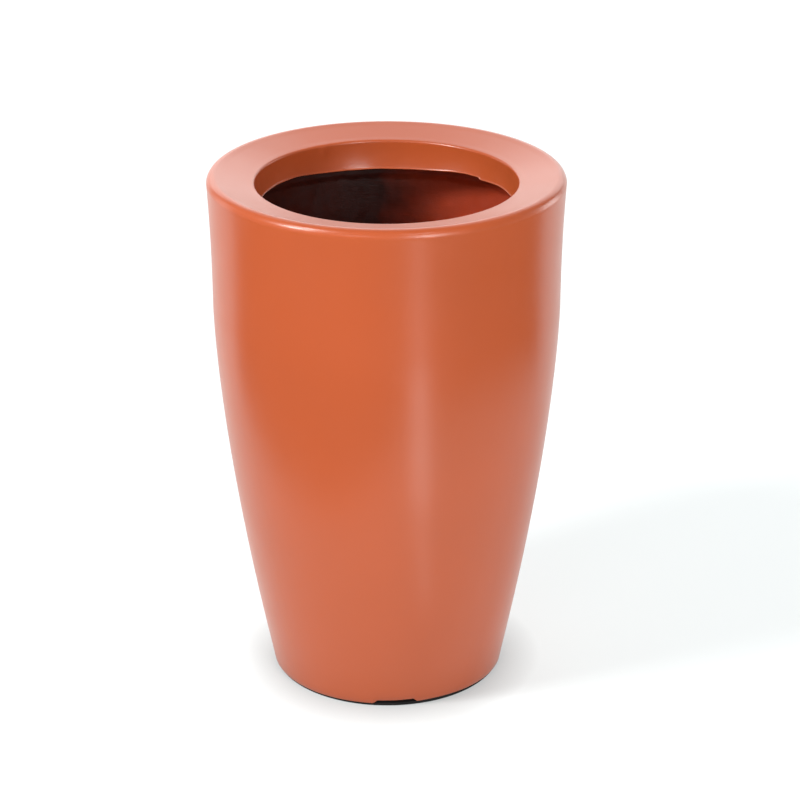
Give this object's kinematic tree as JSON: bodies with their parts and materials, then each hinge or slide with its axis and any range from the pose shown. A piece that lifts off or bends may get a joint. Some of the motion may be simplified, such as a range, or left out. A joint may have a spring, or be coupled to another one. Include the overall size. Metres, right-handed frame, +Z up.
{
  "type": "tall round planter",
  "caption": "Tall round floor planter of painted glass-fibre laminate: tapering shell, turned-in rim with a trimmed collar, raised floor with a drain bung, black foot ring.",
  "frame": {"origin": "centre of the footprint, at ground level", "axes": "+Z up along the planter's own axis, -Y towards the front, which has the low notch in the shell's lower edge, +X to the right seen from the front"},
  "size_m": [0.4, 0.4, 0.6],
  "materials": {
    "painted_laminate": "satin terracotta paint over smooth gel coat",
    "raw_laminate": "rough glass-mat laminate, painted over",
    "black_foot": "matt black, slightly scuffed",
    "plug_rubber": "matt moulded rubber"
  },
  "bodies": {
    "planter": {"body_shell": "painted_laminate", "rim_ring": "painted_laminate", "rim_bond": "raw_laminate", "base_floor": "raw_laminate", "floor_bond": "raw_laminate", "foot_ring": "black_foot"},
    "plug": {"drain_plug": "plug_rubber"}
  },
  "joints": [
    {"name": "plug_lift", "type": "slide", "parent": "planter", "child": "plug", "axis": [0, 0, 1], "range_m": [0, 0.05]}
  ]
}
